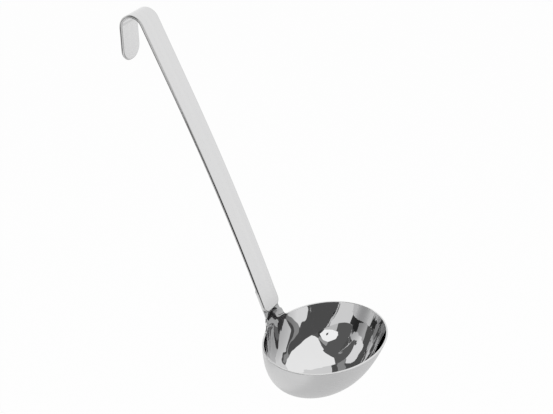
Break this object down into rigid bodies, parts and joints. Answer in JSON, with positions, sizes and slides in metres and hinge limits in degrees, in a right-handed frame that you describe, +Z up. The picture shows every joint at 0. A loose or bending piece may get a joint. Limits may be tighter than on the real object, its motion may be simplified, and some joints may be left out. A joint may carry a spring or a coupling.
{
  "type": "soup ladle",
  "caption": "Soup ladle with a deep oval cup, a short neck and a flat strip handle whose top is bent back into a hanging hook.",
  "frame": {"origin": "centre of the hook's bend, half way across the strip, where a rail passes through", "axes": "+Z up with the cup's rim level, +X from the hook towards the cup's lip, +Y across the strip"},
  "size_m": [0.179, 0.0946, 0.2411],
  "materials": {
    "polished_steel": "mirror polished stainless steel",
    "satin_steel": "fine satin grain along the strip, with softened edges",
    "weld_steel": "fused steel inside the joint, not seen"
  },
  "bodies": {
    "root": {"bowl": "polished_steel", "handle": "satin_steel", "spot_welds": "weld_steel"}
  },
  "joints": []
}
